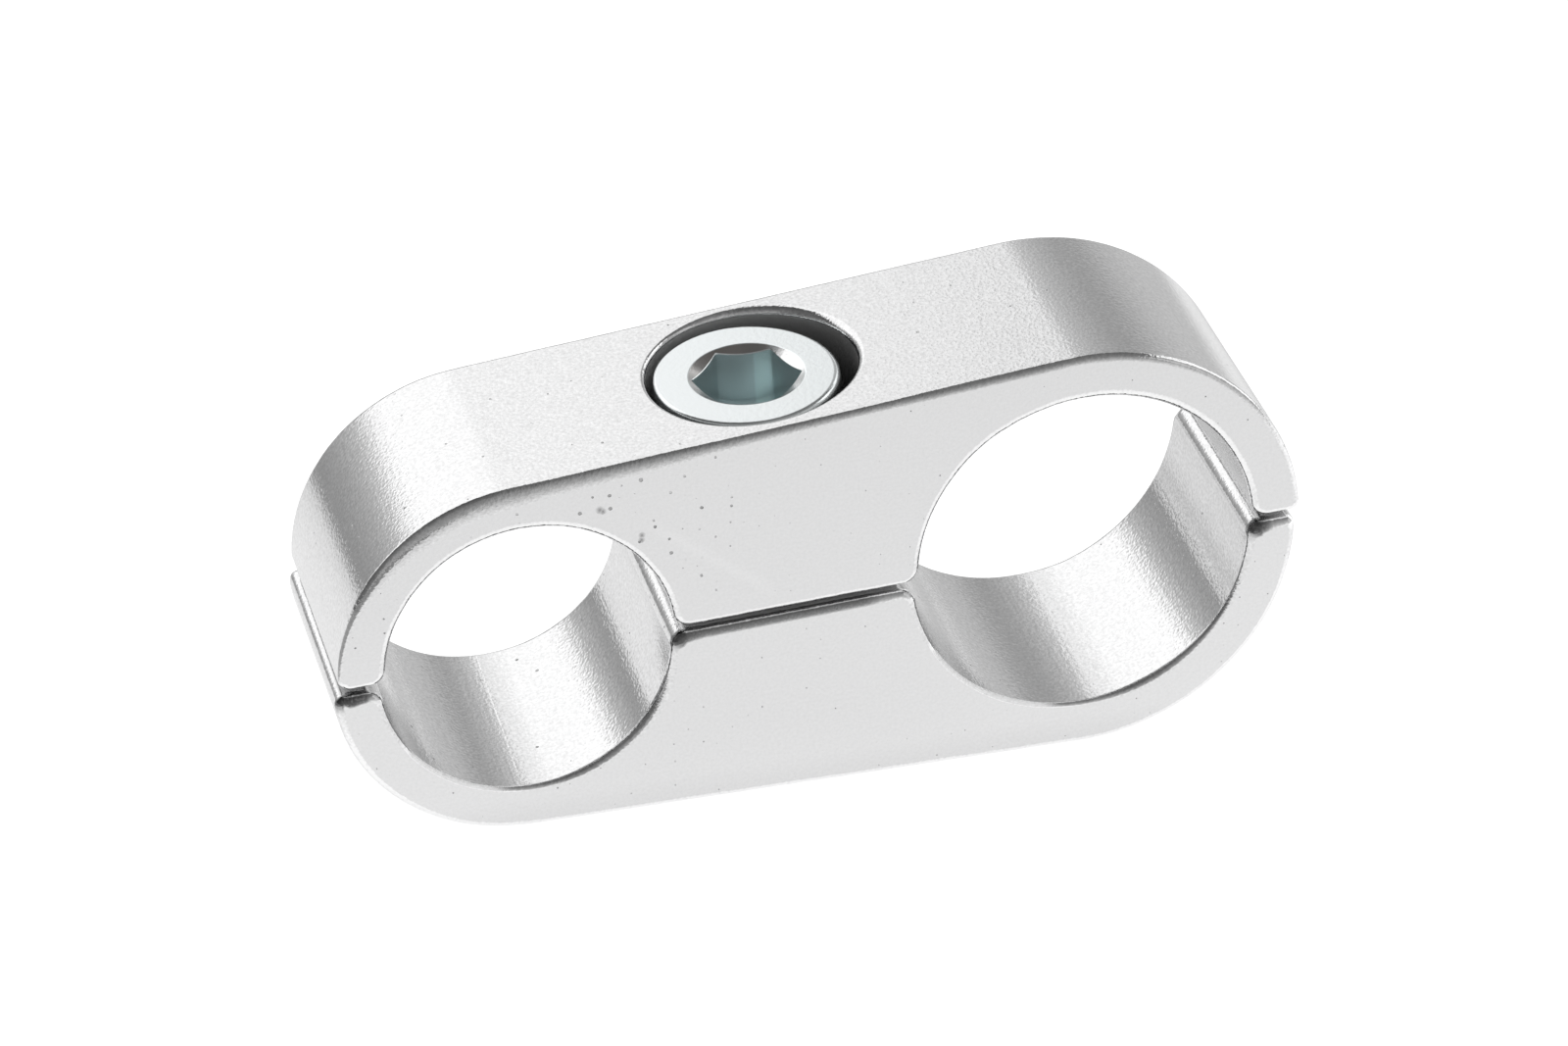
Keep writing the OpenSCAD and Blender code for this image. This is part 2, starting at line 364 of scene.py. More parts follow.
def half_outline(left_round, right_round):
    """Side view of a half, anticlockwise, with where its web, its long flat and its bores begin and end."""
    outline = []
    spans = {"bores": []}

    def run(points):
        for p in points:
            if not outline or math.dist(p[:2], outline[-1][:2]) > SAME_PLACE:
                outline.append(p)

    def mouth(bore_x, bore_r, side):
        """Centre of the round where the split face runs into a bore, and its angle to the bore's axis."""
        reach = bore_r + MOUTH_ROUND
        aside = math.sqrt(reach**2 - MOUTH_ROUND**2)
        return bore_x + side * aside, math.degrees(math.asin(MOUTH_ROUND / reach))

    def corner(end_x, end_r, side, corner_round):
        """The same for the round between the split face and a round end."""
        reach = end_r - corner_round
        aside = math.sqrt(reach**2 - corner_round**2)
        return end_x + side * aside, math.degrees(math.asin(corner_round / reach))

    down = (0.0, -1.0)
    lean = math.degrees(TAPER)
    right_corner, right_turn = corner(BORE_X, LARGE_END_R, 1, right_round)
    left_corner, left_turn = corner(-BORE_X, SMALL_END_R, -1, left_round)
    run(arc_points(right_corner, right_round, right_round, -90, right_turn, 1))
    run(arc_points(BORE_X, 0, LARGE_END_R, right_turn, 90 + lean, 1))
    spans["flat"] = [len(outline) - 1]
    flat_end = (-BORE_X - SMALL_END_R * math.sin(TAPER), SMALL_END_R * math.cos(TAPER))
    run(line_points(outline[-1][:2], flat_end, (-math.sin(TAPER), math.cos(TAPER))))
    spans["flat"].append(len(outline))
    run(arc_points(-BORE_X, 0, SMALL_END_R, 90 + lean, 180 - left_turn, 1))
    run(arc_points(left_corner, left_round, left_round, 180 - left_turn, 270, 1))
    for bore_x, bore_r in ((-BORE_X, SMALL_BORE_R), (BORE_X, LARGE_BORE_R)):
        near, turn = mouth(bore_x, bore_r, -1)
        far, _ = mouth(bore_x, bore_r, 1)
        run(line_points(outline[-1][:2], (near, 0), down))
        if bore_x > 0:
            spans["web"].append(len(outline))
        run(arc_points(near, MOUTH_ROUND, MOUTH_ROUND, -90, -turn, 1))
        bore_start = len(outline) - 1
        run(arc_points(bore_x, 0, bore_r, 180 - turn, turn, -1))
        spans["bores"].append((bore_start, len(outline) - 1))
        run(arc_points(far, MOUTH_ROUND, MOUTH_ROUND, 180 + turn, 270, 1))
        if bore_x < 0:
            spans["web"] = [len(outline) - 1]
    run(line_points(outline[-1][:2], (right_corner, 0), down))
    return outline, spans


class Shell:
    """A closed surface that grows ring by ring, with the exact normal wherever it is known."""

    def __init__(self):
        self.points = []
        self.normals = {}
        self.tones = []
        self.faces = []

    def add(self, point, normal=None, tone=0.0):
        """Adds a point. Its last number sets painted shade at -1 and a painted highlight at 1; 2 marks a
        scoured rim, which also gets the painted highlight.
        """
        self.points.append(Vector(point))
        self.tones.append(tone)
        if normal is not None:
            self.normals[len(self.points) - 1] = Vector(normal).normalized()
        return len(self.points) - 1

    def band(self, one, other, flat=False, finish=0):
        """Quads between two closed rings of the same count."""
        count = len(one)
        for k in range(count):
            n = (k + 1) % count
            self.faces.append(((one[k], one[n], other[n], other[k]), flat, finish))

    def fan(self, ring, tip, flat=False, finish=0):
        """Triangles from a closed ring to a point."""
        for k in range(len(ring)):
            self.faces.append(((ring[k], tip, ring[(k + 1) % len(ring)]), flat, finish))

    def cap(self, loop, axes, hole=None, finish=0):
        """A flat face inside a loop, laid out along two axes, around a round hole if one is given."""
        rings = [loop] + ([hole] if hole else [])
        names = [i for ring in rings for i in ring]
        places = [Vector([getattr(self.points[i], axis) for axis in axes]) for i in names]
        edges = []
        for start, ring in zip((0, len(loop)), rings):
            edges += [(start + k, start + (k + 1) % len(ring)) for k in range(len(ring))]
        found = delaunay_2d_cdt(places, edges, [list(range(len(loop)))], 1, SAME_PLACE / 10)
        back = {new: old[0] for new, old in enumerate(found[3]) if old}
        for triangle in found[2]:
            picked = [back[i] for i in triangle]
            # A triangle with all its corners on the round hole lies inside the hole
            if min(picked) < len(loop):
                self.faces.append((tuple(names[i] for i in picked), True, finish))


def worn_round(x, y, z):
    """Radius of a tumbled edge, a little uneven along its length."""
    slow = noise.noise(Vector((x * 0.35, y, z * 0.35)))
    quick = noise.noise(Vector((x * 2.3, y + 7.0, z * 2.3)))
    return EDGE_ROUND * (1 + EDGE_WEAR * slow + 0.6 * EDGE_WEAR * quick)


def build_half(edge_shape, edge_tone, corner_rounds):
    """Walls, rounded edges and end faces of a half, left open where its screw hole passes."""
    shell = Shell()
    outline, spans = half_outline(*corner_rounds)
    rings = {}
    for side in (-1, 1):
        for k in range(EDGE_STEPS + 1):
            a = math.pi / 2 * k / EDGE_STEPS
            ring = []
            for x, z, nx, nz in outline:
                r, share = edge_shape(x, side, z)
                inset = r * (1 - math.cos(a))
                y = side * (BODY_DEPTH / 2 - share * r * (1 - math.sin(a)))
                out = share * math.cos(a)
                normal = (nx * out, side * math.sin(a), nz * out)
                place = (x - nx * inset, y, z - nz * inset)
                ring.append(shell.add(place, normal, edge_tone(x, side, z, nz, k / EDGE_STEPS)))
            rings[side, k] = ring
    for side in (-1, 1):
        for k in range(EDGE_STEPS):
            shell.band(rings[side, k], rings[side, k + 1])
        shell.cap(rings[side, EDGE_STEPS], "xz", finish=FACED)
    front, back = rings[-1, 0], rings[1, 0]
    count = len(outline)
    open_runs = [range(*spans["flat"]), range(*spans["web"])]
    for k in range(count):
        if any(k in run for run in open_runs):
            continue
        n = (k + 1) % count
        finish = REAMED if any(first <= k < last for first, last in spans["bores"]) else TUMBLED
        if max(abs(outline[k][1]), abs(outline[n][1])) < SAME_PLACE:
            finish = SAWN
        shell.faces.append(((front[k], front[n], back[n], back[k]), False, finish))
    loops = {}
    for name in ("flat", "web"):
        first, last = spans[name]
        picked = [k % count for k in range(first, last + 1)]
        loops[name] = [front[k] for k in picked] + [back[k] for k in reversed(picked)]
    return shell, loops


def thread_tree():
    """Geometry nodes for a threaded wall: a rolled-up grid whose radius follows a helix."""
    tree = bpy.data.node_groups.new("threaded_wall", "GeometryNodeTree")
    sockets = tree.interface
    sockets.new_socket("Mesh", in_out="OUTPUT", socket_type="NodeSocketGeometry")
    kinds = {float: "NodeSocketFloat", int: "NodeSocketInt"}
    defaults = {
        "Low End": 0.0, "Length": 12.0, "Pitch": 1.27, "Root Radius": 2.4, "Crest Radius": 3.15,
        "Crest Flat": 0.125, "End Radius": 2.5, "Side": 1.0, "Axis X": 0.0, "Sides": 96, "Rows": 120,
    }
    for name, value in defaults.items():
        socket = sockets.new_socket(name, in_out="INPUT", socket_type=kinds[type(value)])
        socket.default_value = value
    sockets.new_socket("Material", in_out="INPUT", socket_type="NodeSocketMaterial")
    size = add_node(tree, "NodeGroupInput").outputs
    side = size["Side"]

    grid = add_node(tree, "GeometryNodeMeshGrid")
    grid.inputs["Size X"].default_value = 2 * math.pi
    tree.links.new(size["Length"], grid.inputs["Size Y"])
    tree.links.new(maths(tree, "ADD", size["Sides"], 1), grid.inputs["Vertices X"])
    tree.links.new(maths(tree, "ADD", size["Rows"], 1), grid.inputs["Vertices Y"])
    place = add_node(tree, "ShaderNodeSeparateXYZ")
    tree.links.new(add_node(tree, "GeometryNodeInputPosition").outputs[0], place.inputs[0])
    angle = maths(tree, "ADD", place.outputs["X"], math.pi)
    from_low = maths(tree, "ADD", place.outputs["Y"], maths(tree, "MULTIPLY", size["Length"], 0.5))
    height = maths(tree, "ADD", from_low, size["Low End"])
    # 1 on the crest, 0 in the root, straight flanks between
    pitches = maths(tree, "DIVIDE", height, size["Pitch"])
    turns = maths(tree, "SUBTRACT", pitches, maths(tree, "DIVIDE", angle, 2 * math.pi))
    saw = maths(tree, "SUBTRACT", turns, maths(tree, "FLOOR", turns))
    tent = maths(tree, "ABSOLUTE", maths(tree, "SUBTRACT", maths(tree, "MULTIPLY", saw, 2), 1))
    flank = maths(tree, "DIVIDE", maths(tree, "SUBTRACT", tent, size["Crest Flat"]),
                  maths(tree, "SUBTRACT", 1, maths(tree, "MULTIPLY", size["Crest Flat"], 2)))
    rise = maths(tree, "MINIMUM", maths(tree, "MAXIMUM", flank, 0), 1)
    depth = maths(tree, "SUBTRACT", size["Crest Radius"], size["Root Radius"])
    thread = maths(tree, "ADD", size["Root Radius"], maths(tree, "MULTIPLY", rise, depth))
    # A screw tapers in to its end radius at both ends, and a tapped hole opens out to it
    from_end = maths(tree, "MINIMUM", from_low, maths(tree, "SUBTRACT", size["Length"], from_low))
    lead = maths(tree, "ADD", size["End Radius"], maths(tree, "MULTIPLY", side, from_end))
    least = maths(tree, "MINIMUM", maths(tree, "MULTIPLY", side, thread), maths(tree, "MULTIPLY", side, lead))
    radius = maths(tree, "MULTIPLY", side, least)
    rolled = add_node(tree, "ShaderNodeCombineXYZ")
    aside = maths(tree, "MULTIPLY", radius, maths(tree, "COSINE", angle))
    tree.links.new(maths(tree, "ADD", size["Axis X"], aside), rolled.inputs["X"])
    tree.links.new(maths(tree, "MULTIPLY", radius, maths(tree, "SINE", angle)), rolled.inputs["Y"])
    tree.links.new(height, rolled.inputs["Z"])
    roll = add_node(tree, "GeometryNodeSetPosition")
    tree.links.new(grid.outputs["Mesh"], roll.inputs["Geometry"])
    tree.links.new(rolled.outputs[0], roll.inputs["Position"])
    seam = add_node(tree, "GeometryNodeMergeByDistance")
    seam.inputs["Distance"].default_value = 1e-4
    tree.links.new(roll.outputs[0], seam.inputs["Geometry"])
    real = add_node(tree, "GeometryNodeRealizeInstances")
    tree.links.new(seam.outputs[0], real.inputs[0])
    finish = add_node(tree, "GeometryNodeSetMaterial")
    tree.links.new(real.outputs[0], finish.inputs["Geometry"])
    tree.links.new(size["Material"], finish.inputs["Material"])
    tree.links.new(finish.outputs[0], add_node(tree, "NodeGroupOutput").inputs[0])
    return tree


THREAD_TREE = thread_tree()


def threaded_wall(sizes):
    """Points and faces of a threaded wall of the given sizes."""
    host = bpy.data.objects.new("thread_host", bpy.data.meshes.new("thread_host"))
    bpy.context.scene.collection.objects.link(host)
    modifier = host.modifiers.new("thread", "NODES")
    modifier.node_group = THREAD_TREE
    for item in THREAD_TREE.interface.items_tree:
        name = item.name.lower().replace(" ", "_")
        if item.in_out == "INPUT" and name in sizes:
            modifier[item.identifier] = sizes[name]
    evaluated = host.evaluated_get(bpy.context.evaluated_depsgraph_get())
    made = bpy.data.meshes.new_from_object(evaluated)
    points = [v.co.copy() for v in made.vertices]
    faces = [tuple(p.vertices) for p in made.polygons]
    host.modifiers.remove(modifier)
    bpy.data.objects.remove(host)
    return points, faces


def add_thread(shell, **sizes):
    """Adds a threaded wall to a shell, and returns its low and high rings in order of angle."""
    points, faces = threaded_wall({"axis_x": SCREW_X, "pitch": THREAD_PITCH, "sides": HOLE_SIDES, **sizes})
    first = len(shell.points)
    for p in points:
        shell.add(p)
    for face in faces:
        shell.faces.append((tuple(first + i for i in face), False, 0))
    rings = []
    for height in (min(p.z for p in points), max(p.z for p in points)):
        ring = [i for i, p in enumerate(points) if abs(p.z - height) < 1e-5]
        ring.sort(key=lambda i: math.atan2(points[i].y, points[i].x - SCREW_X) % (2 * math.pi - 1e-6))
        rings.append([first + i for i in ring])
    return rings


def shell_mesh(name, shell):
    """The shell as a mesh that faces outward, with its flat faces and known normals marked."""
    built = bmesh.new()
    flat_layer = built.faces.layers.int.new("flat")
    known = built.verts.layers.int.new("known")
    tone = built.verts.layers.float.new("tone")
    corners = [built.verts.new(p) for p in shell.points]
    for i, corner in enumerate(corners):
        corner[tone] = shell.tones[i]
        corner[known] = i + 1 if i in shell.normals else 0
    for face, flat, finish in shell.faces:
        if len(set(face)) < 3:
            continue
        made = built.faces.new([corners[i] for i in face])
        made.smooth = True
        made.material_index = finish
        made[flat_layer] = int(flat)
    bmesh.ops.remove_doubles(built, verts=built.verts, dist=SAME_PLACE)
    bmesh.ops.dissolve_degenerate(built, edges=built.edges, dist=SAME_PLACE)
    loose = [v for v in built.verts if not v.link_faces]
    bmesh.ops.delete(built, geom=loose, context="VERTS")
    bmesh.ops.recalc_face_normals(built, faces=built.faces)
    if built.calc_volume(signed=True) < 0:
        bmesh.ops.reverse_faces(built, faces=built.faces)
    built.normal_update()
    mesh = bpy.data.meshes.new(name)
    built.to_mesh(mesh)
    built.free()
    return mesh


def finished_object(name, shell, materials, place):
    """Turns a shell into an object in the row frame, with its exact normals."""
    mesh = shell_mesh(name, shell)
    mesh.transform(place)
    if place.determinant() < 0:
        mesh.flip_normals()
    turn = place.to_3x3().normalized()
    flats = mesh.attributes["flat"].data
    knowns = mesh.attributes["known"].data
    smooth = [v.normal.copy() for v in mesh.vertices]
    normals = []
    for polygon in mesh.polygons:
        for corner in polygon.vertices:
            source = knowns[corner].value
            if flats[polygon.index].value:
                normals.append(polygon.normal.copy())
            elif source:
                normals.append(turn @ shell.normals[source - 1])
            else:
                normals.append(smooth[corner])
    mesh.normals_split_custom_set([tuple(n) for n in normals])
    for leftover in ("flat", "known"):
        mesh.attributes.remove(mesh.attributes[leftover])
    for material in materials:
        mesh.materials.append(material)
    made = bpy.data.objects.new(name, mesh)
    bpy.context.scene.collection.objects.link(made)
    return made


def noise_in(tree, scale, detail):
    """Noise with its own number of grains to the metre along each axis."""
    scaled = add_node(tree, "ShaderNodeVectorMath", operation="MULTIPLY")
    tree.links.new(add_node(tree, "ShaderNodeTexCoord").outputs["Object"], scaled.inputs[0])
    scaled.inputs[1].default_value = scale
    texture = add_node(tree, "ShaderNodeTexNoise")
    texture.inputs["Scale"].default_value = 1.0
    texture.inputs["Detail"].default_value = detail
    tree.links.new(scaled.outputs[0], texture.inputs["Vector"])
    return texture.outputs["Fac"]


def add_bump(tree, shader, height, distance):
    """Lets a texture's height stand out of the surface, by a distance in metres where it is 1."""
    bump = add_node(tree, "ShaderNodeBump")
    bump.inputs["Distance"].default_value = distance
    tree.links.new(height, bump.inputs["Height"])
    tree.links.new(bump.outputs["Normal"], shader.inputs["Normal"])


def mesh_tone(tree):
    """The tone that the mesh carries at each point."""
    return add_node(tree, "ShaderNodeAttribute", attribute_name="tone").outputs["Fac"]


# Dents in the front face, above the small bore: X, Z and radius, in metres
FACE_DENTS = [(-0.01152, 0.01833, 0.00024), (-0.01136, 0.01823, 0.0002),
              (-0.00941, 0.01652, 0.0002), (-0.00943, 0.01625, 0.0002)]
# A faint streak falls to the right down the front face, at this height where X is 0
STREAK_Z = 0.01006
STREAK_SLOPE = 0.773
STREAK_HALF_WIDTH = 0.0006
SCRATCH_HALF_WIDTH = 0.00005


def face_dent(tree, dent_x, dent_z, radius):
    """1 in the middle of a dent in the front face, 0 from its radius on."""
    x, y, z = place_in(tree)
    aside = maths(tree, "POWER", maths(tree, "ABSOLUTE", maths(tree, "SUBTRACT", x, dent_x)), 2.0)
    above = maths(tree, "POWER", maths(tree, "ABSOLUTE", maths(tree, "SUBTRACT", z, dent_z)), 2.0)
    off = maths(tree, "SQRT", maths(tree, "ADD", aside, above))
    near = one_minus(tree, maths(tree, "DIVIDE", off, radius), clamp=True)
    return maths(tree, "MULTIPLY", near, maths(tree, "LESS_THAN", y, 0.0))


def face_streak(tree):
    """1 along the streak on the front face, 0 away from it."""
    x, y, z = place_in(tree)
    line = maths(tree, "SUBTRACT", STREAK_Z, maths(tree, "MULTIPLY", x, STREAK_SLOPE))
    off = maths(tree, "ABSOLUTE", maths(tree, "SUBTRACT", z, line))
    across = one_minus(tree, maths(tree, "DIVIDE", off, STREAK_HALF_WIDTH), clamp=True)
    length = ramp(tree, x, [(-0.0095, 0.0), (-0.008, 1.0), (-0.0035, 1.0), (-0.0022, 0.0)])
    return maths(tree, "MULTIPLY", maths(tree, "MULTIPLY", across, length),
                 maths(tree, "LESS_THAN", y, 0.0))


def pits(tree, grain, end_face):
    """1 in the middle of a tumbling pit, 0 on the metal around it."""
    cells = add_node(tree, "ShaderNodeTexVoronoi")
    if end_face:
        # On a flat face the pits come from a flat pattern, and most are at the small end
        x, y, z = place_in(tree)
        cells.voronoi_dimensions = "2D"
        cells.inputs["Scale"].default_value = 1300.0
        flat = add_node(tree, "ShaderNodeCombineXYZ")
        tree.links.new(maths(tree, "ADD", x, maths(tree, "MULTIPLY", y, 0.7)), flat.inputs["X"])
        tree.links.new(z, flat.inputs["Y"])
        tree.links.new(flat.outputs[0], cells.inputs["Vector"])
        by_length = ramp(tree, x, [(-0.022, 0.66), (-0.018, 0.44), (-0.008, 0.44), (-0.002, 0.76)])
        low_down = ramp(tree, z, [(0.0112, 0.72), (0.0125, 0.0)])
        smooth_share = maths(tree, "MAXIMUM", by_length, low_down)
    else:
        cells.inputs["Scale"].default_value = 1400.0
        tree.links.new(add_node(tree, "ShaderNodeTexCoord").outputs["Object"], cells.inputs["Vector"])
        smooth_share = 0.52
    by_cell = add_node(tree, "ShaderNodeSeparateColor")
    tree.links.new(cells.outputs["Color"], by_cell.inputs[0])
    reach = maths(tree, "MULTIPLY", maths(tree, "SUBTRACT", by_cell.outputs[0], smooth_share), 0.27)
    ragged = maths(tree, "ADD", cells.outputs["Distance"], maths(tree, "MULTIPLY", grain, 0.06))
    inside = maths(tree, "SUBTRACT", reach, maths(tree, "SUBTRACT", ragged, 0.03))
    pit = maths(tree, "MULTIPLY", maths(tree, "MULTIPLY", inside, 25.0, clamp=True), by_cell.outputs[1])
    if end_face:
        for dent in FACE_DENTS:
            pit = maths(tree, "MAXIMUM", pit, face_dent(tree, *dent))
    return pit


def aluminium_material(name, line_depth, scratches=(), stone=1.0, end_face=False):
    """Tumbled aluminium: a fine stony grain, faint lines along the bar, and sparse pits, with painted
    highlights and painted shade on its edges from the mesh.
    """
    material, tree = new_material(name)
    shader = add_surface(tree, "ShaderNodeBsdfPrincipled")
    grain = noise_in(tree, (6000, 6000, 6000), 1.5)
    mottle = noise_in(tree, (900, 900, 900), 3.0)
    lines = noise_in(tree, (3600, 60, 3600), 2.0)
    pit = pits(tree, grain, end_face)
    tone = mesh_tone(tree)
    scoured = maths(tree, "SUBTRACT", tone, 1.0, clamp=True)

    stand_out = maths(tree, "MULTIPLY", grain, stone)
    rise = maths(tree, "ADD", stand_out, maths(tree, "MULTIPLY", lines, line_depth))
    add_bump(tree, shader, maths(tree, "SUBTRACT", rise, maths(tree, "MULTIPLY", pit, 3.0)), 0.000014)
    metallic = one_minus(tree, maths(tree, "MULTIPLY", scoured, 0.9))
    tree.links.new(metallic, shader.inputs["Metallic"])
    rough = maths(tree, "ADD", maths(tree, "MULTIPLY", mottle, 0.08), maths(tree, "MULTIPLY", pit, 0.3))
    rough = maths(tree, "ADD", rough, maths(tree, "MULTIPLY", scoured, 0.5))
    tree.links.new(maths(tree, "ADD", rough, 0.05), shader.inputs["Roughness"])

    # Painted highlights lighten the colour where the mesh marks them, scoured rims included, and painted
    # shade darkens it with a speckle
    painted_highlight = maths(tree, "MULTIPLY", maths(tree, "MULTIPLY", tone, 1.0, clamp=True), 0.24)
    speckle = maths(tree, "SUBTRACT", maths(tree, "MULTIPLY", grain, 2.4), 0.2, clamp=True)
    painted_shade = maths(tree, "MULTIPLY", maths(tree, "MINIMUM", tone, 0.0), speckle)
    stony = maths(tree, "MULTIPLY", maths(tree, "SUBTRACT", grain, 0.5), 0.5 * stone)
    worn_and_painted_light = maths(tree, "ADD", painted_highlight, maths(tree, "MULTIPLY", painted_shade, 0.78))
    level = maths(tree, "ADD", maths(tree, "ADD", 1.0, stony), worn_and_painted_light)
    level = maths(tree, "SUBTRACT", level, maths(tree, "MULTIPLY", pit, 0.55))
    if end_face:
        level = maths(tree, "ADD", level, maths(tree, "MULTIPLY", face_streak(tree), 0.035))
    x, y, _ = place_in(tree)
    for scratch_x, slant, gain in scratches:
        line = maths(tree, "ADD", maths(tree, "MULTIPLY", y, slant), scratch_x)
        off = maths(tree, "ABSOLUTE", maths(tree, "SUBTRACT", x, line))
        near = one_minus(tree, maths(tree, "DIVIDE", off, SCRATCH_HALF_WIDTH), clamp=True)
        level = maths(tree, "ADD", level, maths(tree, "MULTIPLY", near, gain))
    tint = add_node(tree, "ShaderNodeVectorMath", operation="SCALE")
    tint.inputs[0].default_value = (0.80, 0.80, 0.803)
    tree.links.new(level, tint.inputs["Scale"])
    tree.links.new(tint.outputs[0], shader.inputs["Base Color"])
    return material


def sawn_material():
    """The sawn faces of the split, duller than what the tumbling stones reached."""
    material, tree = new_material("sawn_split_face")
    shader = add_surface(tree, "ShaderNodeBsdfPrincipled")
    shader.inputs["Metallic"].default_value = 0.5
    shader.inputs["Base Color"].default_value = (0.60, 0.60, 0.603, 1.0)
    shader.inputs["Roughness"].default_value = 0.45
    add_bump(tree, shader, noise_in(tree, (900, 9000, 900), 2.0), 0.000008)
    return material


tumbled_finish = aluminium_material("tumbled_aluminium", 0.15)
reamed_finish = aluminium_material("reamed_aluminium", 0.5)
faced_finish = aluminium_material("faced_aluminium", 0.04, stone=0.22, end_face=True)
sawn_finish = sawn_material()

# From the split plane's own frame, in millimetres, to the row frame, in metres
CLAMP_PLACE = (Matrix.Scale(MM, 4) @ Matrix.Translation((-LENGTH_MIDDLE, 0, STAND_HEIGHT))
               @ Matrix.Rotation(-TAPER, 4, "Y"))


def table_row(table, x):
    """The values that a table of (place, value, ...) rows gives at a place, in straight steps."""
    for before, after in zip(table, table[1:]):
        if before[0] <= x <= after[0]:
            t = (x - before[0]) / (after[0] - before[0])
            return [p + (q - p) * t for p, q in zip(before[1:], after[1:])]
    return table[0][1:] if x < table[0][0] else table[-1][1:]


# Along the lower half's front edge at the split: place, radius, and tone from painted shade, -1, to painted
# highlight, 1
SPLIT_EDGE_WEAR_AND_PAINTED_LIGHT = [
    (-24.6, 0.64, -1.0), (-23.5, 0.62, -1.0), (-22.8, 0.50, -0.9), (-22.5, 0.44, -0.3), (-22.2, 0.42, 0.7),
    (-21.6, 0.42, 0.8), (-7.9, 0.60, -0.9), (-7.1, 0.72, -0.95), (-6.4, 0.60, -0.8), (-5.4, 0.48, -0.6),
    (3.0, 0.46, -0.6), (4.4, 0.42, 0.3), (5.8, 0.42, 0.8), (22.6, 0.62, -1.0), (23.3, 0.80, -1.0),
    (24.3, 0.66, -0.9), (24.8, 0.50, 0.3), (25.8, 0.46, 1.0),
]
SPLIT_EDGE_REACH = 0.75
# Along the rim of a lower bore: place to the right of its axis, and radius as a share of the other edges'
SMALL_RIM_WEAR = [(-7.4, 0.6), (-1.5, 0.6), (0.3, 0.66), (2.0, 0.9), (4.0, 1.05), (5.5, 1.25), (7.0, 1.3)]
LARGE_RIM_WEAR = [(-8.9, 0.6), (-1.5, 0.6), (0.3, 0.62), (2.5, 1.0), (3.6, 0.96), (5.5, 0.83), (7.5, 0.76)]
RIM_WIDTH = 1.0
# In front the left part of a rim is scoured and given a painted highlight: it ends this far left of the
# bore's axis, over this length, and begins at this height above the split
SCOUR_END = 0.2
SCOUR_FADE = 2.4
SCOUR_FOOT = 3.2


def clamped(value):
    return max(0.0, min(1.0, value))


def from_bore(x, z):
    """How far a place in the side view is from the wall of the nearer bore."""
    return min(math.hypot(x + BORE_X, z) - SMALL_BORE_R, math.hypot(x - BORE_X, z) - LARGE_BORE_R)


def near_split(z):
    """1 at the split, falling to 0 past the reach of its edges' wear."""
    return math.exp(-(z / SPLIT_EDGE_REACH) ** 4)


def to_right(x):
    """How far a place along the body lies to the right of its bore's axis."""
    return x + BORE_X if x < 0 else x - BORE_X


def lower_edge(x, side, z):
    """Radius and depth share of an edge. Those beside the split are rounded more, most at its corners."""
    r = worn_round(x, side, z)
    ragged = (0.03 * noise.noise(Vector((x * 3.1, side, z * 3.1)))
              + 0.02 * noise.noise(Vector((x * 9.0, side, z * 9.0))))
    worn_and_painted_light, _ = table_row(SPLIT_EDGE_WEAR_AND_PAINTED_LIGHT, x)
    # At an outer corner it can't be wider than the corner's own round
    inside = min(x + BORE_X + SMALL_END_R, BORE_X + LARGE_END_R - x) - LOWER_CORNER_ROUND
    widest = 0.95 * LOWER_CORNER_ROUND + 1.2 * max(0.0, inside - 0.02)
    if from_bore(x, z) < RIM_WIDTH:
        rim, = table_row(SMALL_RIM_WEAR if x < 0 else LARGE_RIM_WEAR, to_right(x))
        r *= 1.0 + (rim - 1.0) * clamped((z - 1.0) / 2.0)
    return min(r + (worn_and_painted_light + ragged - r) * near_split(z), widest), 1.0


def lower_tone(x, side, z, nz, turn):
    """Edges that face down get a painted highlight. In front, those at the split carry painted shade and
    painted highlights, and the rims are scoured with a painted highlight.
    """
    at_split_face = nz < -0.98 and abs(z) < 0.05
    if turn == 1 or (turn == 0 and not at_split_face):
        return 0.0
    # Painted highlight on edges that face down
    bright = min(1.0, 2 * turn) * clamped(3 * nz)
    past_split = z > 2 * SPLIT_EDGE_REACH
    if nz < 0 and past_split:
        scoured = clamped((-SCOUR_END - to_right(x)) / SCOUR_FADE)
        return 2.0 * scoured * clamped(z - SCOUR_FOOT) if side < 0 else 0.0
    if side > 0 or past_split:
        return bright
    # Along the split in front, painted shade and painted highlights from the table
    _, tone = table_row(SPLIT_EDGE_WEAR_AND_PAINTED_LIGHT, x)
    return bright + (tone - bright) * near_split(z)


